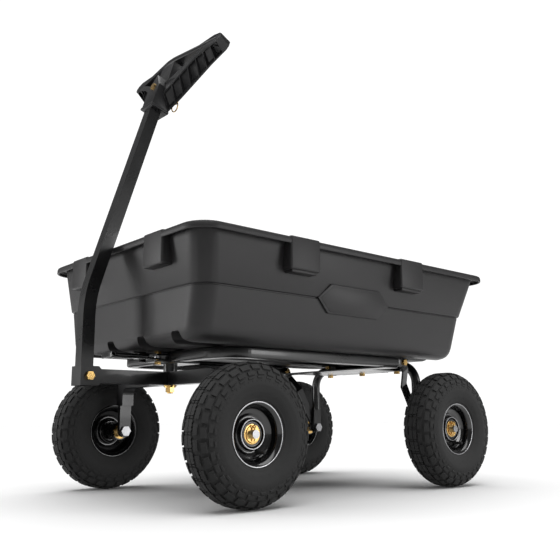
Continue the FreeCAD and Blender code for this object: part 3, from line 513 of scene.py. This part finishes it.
# Levels of the tub from the bottom up and down again inside, in millimetres: back and front
# from the middle, half width, height.
OUTSIDE = (
    (-350.0, 392.0, 233.0, 300.5), (-355.0, 397.0, 238.0, 301.1), (-361.0, 403.2, 244.2, 303.4),
    (-366.5, 408.6, 249.6, 307.6), (-370.6, 412.4, 253.8, 313.6), (-373.2, 414.6, 256.6, 320.4),
    (-375.0, 415.6, 259.0, 328.4), (-384.0, 416.9, 274.5, 398.6),
    (-384.4, 417.0, 275.0, 400.6), (-383.6, 416.0, 274.0, 401.8), (-383.8, 416.2, 274.2, 403.4),
    (-386.4, 419.0, 277.6, 404.6), (-388.0, 420.4, 279.0, 406.6), (-431.0, 432.8, 290.8, 497.0),
    (-434.0, 433.6, 291.6, 503.0))
RIM = (
    (-437.5, 437.5, 296.5, 505.5), (-444.5, 444.0, 304.6, 505.5), (-446.2, 445.6, 306.2, 503.6),
    (-446.4, 445.8, 306.4, 498.0), (-447.4, 446.8, 307.4, 497.0), (-449.0, 448.4, 309.0, 497.2),
    (-449.8, 449.2, 309.8, 498.6), (-449.6, 449.0, 309.6, 506.0), (-448.4, 447.8, 308.4, 509.4),
    (-446.0, 445.4, 306.0, 511.1), (-443.0, 442.4, 303.0, 511.5), (-437.0, 436.4, 297.0, 511.5),
    (-433.0, 432.6, 293.2, 510.6), (-430.4, 430.2, 289.6, 508.0), (-428.6, 428.8, 287.6, 503.0))
INSIDE = (
    (-428.2, 428.4, 287.2, 506.0), (-425.8, 427.6, 285.6, 497.0), (-383.0, 415.4, 273.8, 406.0),
    (-380.6, 413.0, 271.4, 402.5), (-370.6, 411.2, 254.6, 328.0), (-366.0, 407.4, 249.4, 315.0),
    (-359.0, 401.0, 242.4, 308.0), (-349.0, 391.0, 232.0, 305.5))


def stacked(levels):
    """A closed shell that passes through rounded rectangles, one level after another."""
    bm = bmesh.new()
    back, front, side, z = levels[0]
    low, high = Vector((MID + back, -side, z)) * MM, Vector((MID + front, side, z)) * MM
    corners = [(low.x, low.y), (high.x, low.y), (high.x, high.y), (low.x, high.y)]
    face = bm.faces.new([bm.verts.new((x, y, low.z)) for x, y in corners])
    bmesh.ops.bevel(bm, geom=face.verts[:], offset=CORNER_RADIUS * MM, segments=10, profile=0.5,
                    affect="VERTICES", material=-1)
    face = first = bm.faces[:][0]
    size = (back, front, side, z)
    for level in levels[1:]:
        grown = bmesh.ops.extrude_face_region(bm, geom=[face])
        if face != first:
            bmesh.ops.delete(bm, geom=[face], context="FACES_ONLY")
        face = [f for f in grown["geom"] if isinstance(f, bmesh.types.BMFace)][0]
        was, now = ((s[0] + s[1]) / 2 for s in (size, level))
        stretch = ((level[1] - level[0]) / (size[1] - size[0]), level[2] / size[2], 1.0)
        centre = Vector(((MID + was) * MM, 0, 0))
        bmesh.ops.scale(bm, vec=stretch, verts=face.verts, space=Matrix.Translation(-centre))
        bmesh.ops.translate(bm, verts=face.verts,
                            vec=((now - was) * MM, 0, (level[3] - size[3]) * MM))
        size = level
    bmesh.ops.recalc_face_normals(bm, faces=bm.faces)
    return bm


def tub():
    """The tub with its ribbed floor, lugs and side panels."""
    ribs = [cuboid((-440, y - RIB_HALF_WIDTH, 290), (420, y + RIB_HALF_WIDTH, 327), 4.0)
            for y in CHANNEL_ROWS]
    cavity = carved(stacked(INSIDE), ribs, "DIFFERENCE")
    channels = [slab([(y + u, z) for u, z in both_sides(list(CHANNEL_FLARE))], 860.0,
                     (ACROSS, UP, FORWARD)) for y in CHANNEL_ROWS]
    shell = carved(stacked(OUTSIDE + RIM), [cavity] + channels, "DIFFERENCE")
    for middle in SIDE_LUG_ROWS:
        for side in SIDES:
            near, far = sorted((side * 281.0, side * 310.8))
            merge_in(shell, cuboid((middle - 40, near, LUG_BOTTOM), (middle + 40, far, LUG_TOP),
                                   4.5, 4))
            near, far = sorted((side * 283.0, side * 305.5))
            merge_in(shell, cuboid((middle - 34, near, 441.0), (middle + 34, far, 450.0), 2.0))
    for middle in FRONT_LUG_ROWS:
        merge_in(shell, cuboid((386.0, middle - 35, LUG_BOTTOM), (415.2, middle + 35, LUG_TOP),
                               4.5, 4))
    obj = piece("tub_shell", shell, "tub_poly", "tub_body", ["tub"], 32.0)
    for side in SIDES:
        side_panel(side)
    return obj


def side_panel(side):
    """The plain six-sided raised panel on each side wall."""
    tilt = math.atan2(13.4, 62.0)
    along = Vector((0, side * math.sin(tilt), math.cos(tilt)))
    out = Vector((0, side * math.cos(tilt), -math.sin(tilt)))
    outline = [(-110, 0), (-76, -31), (76, -31), (110, 0), (76, 31), (-76, 31)]
    panel = slab(outline, 6.0, (FORWARD, along, out))
    soften(panel, 1.4, 3)
    inner = slab([(u * 0.93, v * 0.86) for u, v in outline], 7.4, (FORWARD, along, out))
    soften(inner, 0.9, 2)
    merge_in(panel, inner)
    middle = Vector((MID + 20.0, side * 277.2, 404.0)) * MM
    bmesh.ops.translate(panel, vec=middle, verts=panel.verts)
    name = "left_side_panel" if side > 0 else "right_side_panel"
    return piece(name, panel, "tub_poly", "tub_body")


# ---------------------------------------------------------------- hoop

BEND_STEPS = 16


def hoop():
    """The channel-section hoop, swept round its two bends."""
    bm = bmesh.new()
    section = [(0.0, 3.2), (0.9, 1.0), (3.0, 0.0), (24.2, 0.0), (25.0, 0.8), (25.0, 2.4),
               (24.2, 3.0), (5.0, 3.0), (3.0, 5.0), (3.0, 17.0), (5.0, 19.0), (24.2, 19.0),
               (25.0, 19.6), (25.0, 21.2), (24.2, 22.0), (3.0, 22.0), (0.9, 21.0), (0.0, 18.8)]
    back, front, side, bend = -232.0, 284.0, 215.0, 72.0
    verts = [bm.verts.new(Vector((back, side - u, 278.0 + v)) * MM) for u, v in section]
    face = bm.faces.new(verts)

    def push(face, vector):
        grown = bmesh.ops.extrude_face_region(bm, geom=[face])
        face = [f for f in grown["geom"] if isinstance(f, bmesh.types.BMFace)][0]
        bmesh.ops.translate(bm, vec=Vector(vector) * MM, verts=face.verts)
        return face

    def swing(face, centre):
        for _ in range(BEND_STEPS):
            grown = bmesh.ops.extrude_face_region(bm, geom=[face])
            face = [f for f in grown["geom"] if isinstance(f, bmesh.types.BMFace)][0]
            bmesh.ops.rotate(bm, cent=Vector(centre) * MM, verts=face.verts,
                             matrix=Matrix.Rotation(-math.pi / 2 / BEND_STEPS, 3, "Z"))
        return face

    face = push(face, (front - bend - back, 0, 0))
    face = swing(face, (front - bend, side - bend, 0))
    face = push(face, (0, -2 * (side - bend), 0))
    face = swing(face, (front - bend, bend - side, 0))
    push(face, (-(front - bend - back), 0, 0))
    bmesh.ops.recalc_face_normals(bm, faces=bm.faces)
    for sign in SIDES:
        near, far = sorted((sign * 212.0, sign * 215.0))
        merge_in(bm, cuboid((-259, near, 278), (-231, far, 300), 1.2, 2))
    return piece("hoop_channel", bm, "black_paint", "chassis", ["frame_hoop"], 40.0)


# ---------------------------------------------------------------- grip

LEAN = math.radians(17.5)
GRIP_UP = Vector((-math.sin(LEAN), 0, math.cos(LEAN)))
GRIP_OUT = Vector((math.cos(LEAN), 0, math.sin(LEAN)))
GRIP_FOOT = Vector((330.84, 0, 836.0))


def grip_part(rear, front, rear_out, front_out):
    """A block of the grip between a rear and a front outline of (across, up) points."""
    bm = slab(front, front_out - rear_out, (ACROSS, GRIP_UP, GRIP_OUT))
    bmesh.ops.translate(bm, vec=(GRIP_FOOT + GRIP_OUT * (front_out + rear_out) / 2) * MM,
                        verts=bm.verts)
    for vert, (_, was), (_, now) in zip(bm.verts[:len(front)], front, rear):
        vert.co += GRIP_UP * (now - was) * MM
    return bm


def both_sides(right):
    """A right-hand outline with its mirror."""
    return right + [(-u, v) for u, v in reversed(right)]


SWEEP_BACK = 18.5
SWEEP_REACH = 175.0
BAR_RADIUS = 11.4
BAR_LENGTH = 318.0
BAR_HEIGHT = 143.0
BAR_OUT = -8.0

# The lower edge of the arms, as (across, up), at the front and the rear.
ARM_FRONT = ((21.0, 40.0), (59.0, 73.0), (103.0, 110.0), (135.0, 125.0), (172.0, 136.0))
ARM_REAR = ((21.0, 4.0), (59.0, 31.0), (103.0, 69.0), (135.0, 97.0), (172.0, 123.0))


def grip_arms(rib_count):
    """Both arms in one piece, with the two hand gaps and the ribbed cells underneath."""
    rear_out, front_out = -22.0, 4.0
    tip = [(177.6, 139.6), (177.6, 147.0), (170.0, 152.6), (150.0, 154.6)]
    rear_tip = [(177.6, 131.0), (177.6, 142.0), (170.0, 150.0), (150.0, 153.0)]
    arms = grip_part(both_sides(list(ARM_REAR) + rear_tip), both_sides(list(ARM_FRONT) + tip),
                     rear_out, front_out)
    gap = ((25.0, 77.0), (95.0, 116.5), (124.0, 131.0), (25.0, 131.0))
    gaps = []
    for side in SIDES:
        outline = [(side * u, v) for u, v in gap]
        gaps.append(grip_part(outline, outline, rear_out - 20.0, front_out + 20.0))
    arms = carved(arms, gaps, "DIFFERENCE")
    cells = []
    reach, width, rib = 24.0, 142.0 / rib_count, 1.9
    for side in SIDES:
        for index in range(rib_count):
            start = reach + index * width
            end = start + width - rib
            bands = []
            for line, depth in ((ARM_REAR, 17.0), (ARM_FRONT, 5.5)):
                low, high = height_on(line, start), height_on(line, end)
                corners = ((start, low - 6.0), (end, high - 6.0), (end, high + depth),
                           (start, low + depth))
                bands.append([(side * u, v) for u, v in corners])
            cells.append(grip_part(bands[0], bands[1], rear_out + 2.4, front_out - 2.0))
    arms = carved(arms, cells, "DIFFERENCE")
    soften(arms, 1.3, 2, 40.0)
    sweep_back(arms)
    return arms


def crossbar():
    """The round bar across the top of both arms, which leans back with them."""
    bar = bmesh.new()
    bmesh.ops.create_cone(bar, cap_ends=True, segments=24, radius1=BAR_RADIUS * MM,
                          radius2=BAR_RADIUS * MM, depth=BAR_LENGTH * MM)
    bmesh.ops.rotate(bar, cent=(0, 0, 0), matrix=Matrix.Rotation(math.pi / 2, 3, "X"),
                     verts=bar.verts)
    long_edges = [e for e in bar.edges if e.calc_length() > BAR_LENGTH / 2 * MM]
    bmesh.ops.subdivide_edges(bar, edges=long_edges, cuts=12)
    bmesh.ops.translate(bar, verts=bar.verts,
                        vec=(GRIP_FOOT + GRIP_UP * BAR_HEIGHT + GRIP_OUT * BAR_OUT) * MM)
    sweep_back(bar)
    return bar


def grip():
    """The pull grip: two arms with ribbed undersides, a crossbar and the shaft's sleeve."""
    whole = grip_arms(bpy.context.scene.cart_sizes.rib_count)
    merge_in(whole, crossbar())
    taper = both_sides([(23.0, 0.0), (23.0, 58.0), (2.0, 90.0)])
    sleeve = grip_part(taper, taper, -25.0, 18.0)
    soften(sleeve, 1.5, 3)
    merge_in(whole, sleeve)
    band = both_sides([(22.6, -0.2), (24.4, 1.0), (24.4, 5.0), (22.6, 6.4)])
    lip = grip_part(band, band, -26.4, 19.4)
    soften(lip, 0.8, 2)
    merge_in(whole, lip)
    return piece("pull_grip", whole, "grip_plastic", "handle", ["grip"], 35.0)


def sweep_back(bm):
    """Lean both arms back towards their tips."""
    for vert in bm.verts:
        share = min(abs(vert.co.y) / MM / SWEEP_REACH, 1.0)
        vert.co -= GRIP_OUT * SWEEP_BACK * MM * share


def height_on(line, reach):
    """The height of a line of (reach, height) points at a reach."""
    for (u0, v0), (u1, v1) in zip(line, line[1:]):
        if reach <= u1:
            return v0 + (v1 - v0) * (reach - u0) / (u1 - u0)
    return line[-1][1]


# ---------------------------------------------------------------- dump lever

LEVER_PIVOT = (301.0, 0.0, 284.5)
LEVER_HUMP_HEIGHT = 289.4


def lever():
    """The flat pressed lever with its turned-up edge and folded grip end."""
    axes = (FORWARD, ACROSS, UP)
    blade = slab([(-12, 0), (-9, -9), (0, -12), (14, -12), (14, -24), (30, -24), (30, -12),
                  (96, -13), (112, -21.5), (119.6, -21.5), (119.6, 21.5), (112, 21.5),
                  (96, 13), (0, 12), (-9, 9)], 3.0, axes)
    soften(blade, 0.8, 2)
    bmesh.ops.translate(blade, vec=Vector(LEVER_PIVOT) * MM, verts=blade.verts)
    hump = slab([(326, -9), (402, -14), (412, -19), (412, 19), (402, 14), (326, 9)], 7.5, axes)
    soften(hump, 2.6, 4)
    bmesh.ops.translate(hump, vec=(0, 0, LEVER_HUMP_HEIGHT * MM), verts=hump.verts)
    merge_in(blade, hump)
    tip = cuboid((417.0, -21.8, 281.0), (420.9, 21.8, 294.0), 1.4, 3)
    merge_in(blade, tip)
    merge_in(blade, cuboid((409.2, -21.8, 291.2), (420.6, 21.8, 293.9), 1.2, 3))
    return piece("lever_blade", blade, "lever_paint", "dump_lever", ["dump_lever"])


# ---------------------------------------------------------------- stage

OVERHEAD_STRENGTH = 3.2
OVERHEAD_SPREAD = math.radians(75)
SKY_LIGHT = 0.20                  # what the backdrop gives the cart
SKY_SEEN = 1.1                    # how bright the backdrop itself looks
FLOOR_REACH = 14.0
FLOOR_DROP = 0.0006
# Name, place, aim and size in metres, and power in watts.
SOFT_LIGHTS = (
    ("front_light", (2.3, -1.6, 0.75), (0.3, 0.0, 0.3), (0.7, 1.2), 20.0),
    ("side_light", (-1.5, 2.7, 0.75), (-0.1, 0.2, 0.25), (0.9, 1.2), 22.0))


def camera(stage):
    """The camera, at the studio's viewing angle."""
    yaw, pitch, roll = stage.yaw, stage.pitch, stage.roll
    ahead = Vector((math.cos(yaw) * math.cos(pitch), math.sin(yaw) * math.cos(pitch),
                    math.sin(pitch)))
    right = Vector((math.sin(yaw), -math.cos(yaw), 0))
    above = right.cross(ahead)
    turned = math.cos(roll) * right + math.sin(roll) * above
    upright = -math.sin(roll) * right + math.cos(roll) * above
    data = bpy.data.cameras.new("studio_camera")
    data.lens = stage.lens
    data.sensor_width = 36.0
    obj = bpy.data.objects.new("studio_camera", data)
    bpy.context.collection.objects.link(obj)
    axes = Matrix((turned, upright, -ahead)).transposed()
    obj.matrix_world = Matrix.Translation(Vector(stage.eye)) @ axes.to_4x4()
    bpy.context.scene.camera = obj


def softbox(name, place, aim, size, power):
    """One large soft light."""
    data = bpy.data.lights.new(name, "AREA")
    data.shape = "RECTANGLE"
    data.size, data.size_y = size
    data.energy = power
    obj = bpy.data.objects.new(name, data)
    bpy.context.collection.objects.link(obj)
    ray = Vector(aim) - Vector(place)
    obj.matrix_world = (Matrix.Translation(Vector(place))
                        @ ray.to_track_quat("-Z", "Y").to_matrix().to_4x4())


def overhead():
    """An even, very soft light from above, which keeps the ground white to the horizon."""
    data = bpy.data.lights.new("overhead_light", "SUN")
    data.energy = OVERHEAD_STRENGTH
    data.angle = OVERHEAD_SPREAD
    obj = bpy.data.objects.new("overhead_light", data)
    bpy.context.collection.objects.link(obj)


def backdrop():
    """A white backdrop that lights the cart only softly."""
    world = bpy.data.worlds.new("studio")
    world.use_nodes = True
    nodes, links = world.node_tree.nodes, world.node_tree.links
    sky = nodes["Background"]
    sky.inputs["Color"].default_value = (1.0, 1.0, 1.0, 1.0)
    seen = nodes.new("ShaderNodeLightPath")
    level = nodes.new("ShaderNodeMapRange")
    level.inputs["To Min"].default_value = SKY_LIGHT
    level.inputs["To Max"].default_value = SKY_SEEN
    links.new(seen.outputs["Is Camera Ray"], level.inputs["Value"])
    links.new(level.outputs["Result"], sky.inputs["Strength"])
    return world


def floor(white):
    """A pale floor."""
    bm = bmesh.new()
    bmesh.ops.create_grid(bm, x_segments=1, y_segments=1, size=FLOOR_REACH)
    bmesh.ops.translate(bm, vec=(0, 0, -FLOOR_DROP), verts=bm.verts)
    mesh = bpy.data.meshes.new("floor")
    bm.to_mesh(mesh)
    bm.free()
    obj = bpy.data.objects.new("floor", mesh)
    bpy.context.collection.objects.link(obj)
    material = bpy.data.materials.new("floor_white")
    material.use_nodes = True
    surface = material.node_tree.nodes["Principled BSDF"]
    surface.inputs["Base Color"].default_value = (*white, 1.0)
    surface.inputs["Roughness"].default_value = 0.6
    surface.inputs["Specular IOR Level"].default_value = 0.2
    mesh.materials.append(material)
    obj.visible_diffuse = False


# ---------------------------------------------------------------- operators

class CART_OT_stage(bpy.types.Operator):
    """Add the floor, the soft lights and the camera"""
    bl_idname = "cart.stage"
    bl_label = "Studio"

    def execute(self, context):
        stage = context.scene.cart_stage
        camera(stage)
        floor(tuple(stage.white))
        context.scene.world = backdrop()
        context.scene.view_settings.view_transform = "Standard"
        overhead()
        for light in SOFT_LIGHTS:
            softbox(*light)
        return {"FINISHED"}


class CART_OT_tub(bpy.types.Operator):
    """Model the poly tub"""
    bl_idname = "cart.tub"
    bl_label = "Tub"

    def execute(self, context):
        tub()
        return {"FINISHED"}


class CART_OT_wheels(bpy.types.Operator):
    """Model the four wheels"""
    bl_idname = "cart.wheels"
    bl_label = "Wheels"

    def execute(self, context):
        for corner in CORNERS:
            wheel(corner)
            wear_node(corner + "_hub", "rim_paint")
        return {"FINISHED"}


class CART_OT_hoop(bpy.types.Operator):
    """Model the frame's hoop"""
    bl_idname = "cart.hoop"
    bl_label = "Frame hoop"

    def execute(self, context):
        hoop()
        return {"FINISHED"}


class CART_OT_grip(bpy.types.Operator):
    """Model the pull grip"""
    bl_idname = "cart.grip"
    bl_label = "Grip"

    def execute(self, context):
        grip()
        return {"FINISHED"}


class CART_OT_lever(bpy.types.Operator):
    """Model the dump lever"""
    bl_idname = "cart.lever"
    bl_label = "Dump lever"

    def execute(self, context):
        lever()
        return {"FINISHED"}


class CART_OT_metalwork(bpy.types.Operator):
    """Finish the steel parts and the fasteners of the frame"""
    bl_idname = "cart.metalwork"
    bl_label = "Metalwork"

    def execute(self, context):
        for part in frame["record"]["subparts"]:
            if not frame["nodes"][part["node"]].hide_render:
                wear_node(part["node"], part["material_slot"])
        return {"FINISHED"}


STEPS = (CART_OT_stage, CART_OT_tub, CART_OT_wheels, CART_OT_hoop, CART_OT_grip,
         CART_OT_lever, CART_OT_metalwork)


class CART_PT_panel(bpy.types.Panel):
    """Lists the cart's pieces in the sidebar"""
    bl_idname = "CART_PT_panel"
    bl_label = "Garden Dump Cart"
    bl_space_type = "VIEW_3D"
    bl_region_type = "UI"
    bl_category = "Cart"

    def draw(self, context):
        scene = context.scene
        for group in (scene.cart_sizes, scene.cart_colours, scene.cart_stage):
            box = self.layout.box()
            for name in group.bl_rna.properties.keys():
                if name not in ("rna_type", "name"):
                    box.prop(group, name)
        for step in STEPS:
            self.layout.operator(step.bl_idname)


CLASSES = (CartSizes, CartColours, CartStage) + STEPS + (CART_PT_panel,)


def register():
    """Add the classes and the settings."""
    for item in CLASSES:
        bpy.utils.register_class(item)
    bpy.types.Scene.cart_sizes = bpy.props.PointerProperty(type=CartSizes)
    bpy.types.Scene.cart_colours = bpy.props.PointerProperty(type=CartColours)
    bpy.types.Scene.cart_stage = bpy.props.PointerProperty(type=CartStage)


def unregister():
    """Take the classes and the settings away."""
    for name in ("cart_sizes", "cart_colours", "cart_stage"):
        delattr(bpy.types.Scene, name)
    for item in reversed(CLASSES):
        bpy.utils.unregister_class(item)


def main():
    """Build everything in order."""
    register()
    for step in STEPS:
        group, name = step.bl_idname.split(".")
        getattr(getattr(bpy.ops, group), name)()


if __name__ == "__main__":
    main()
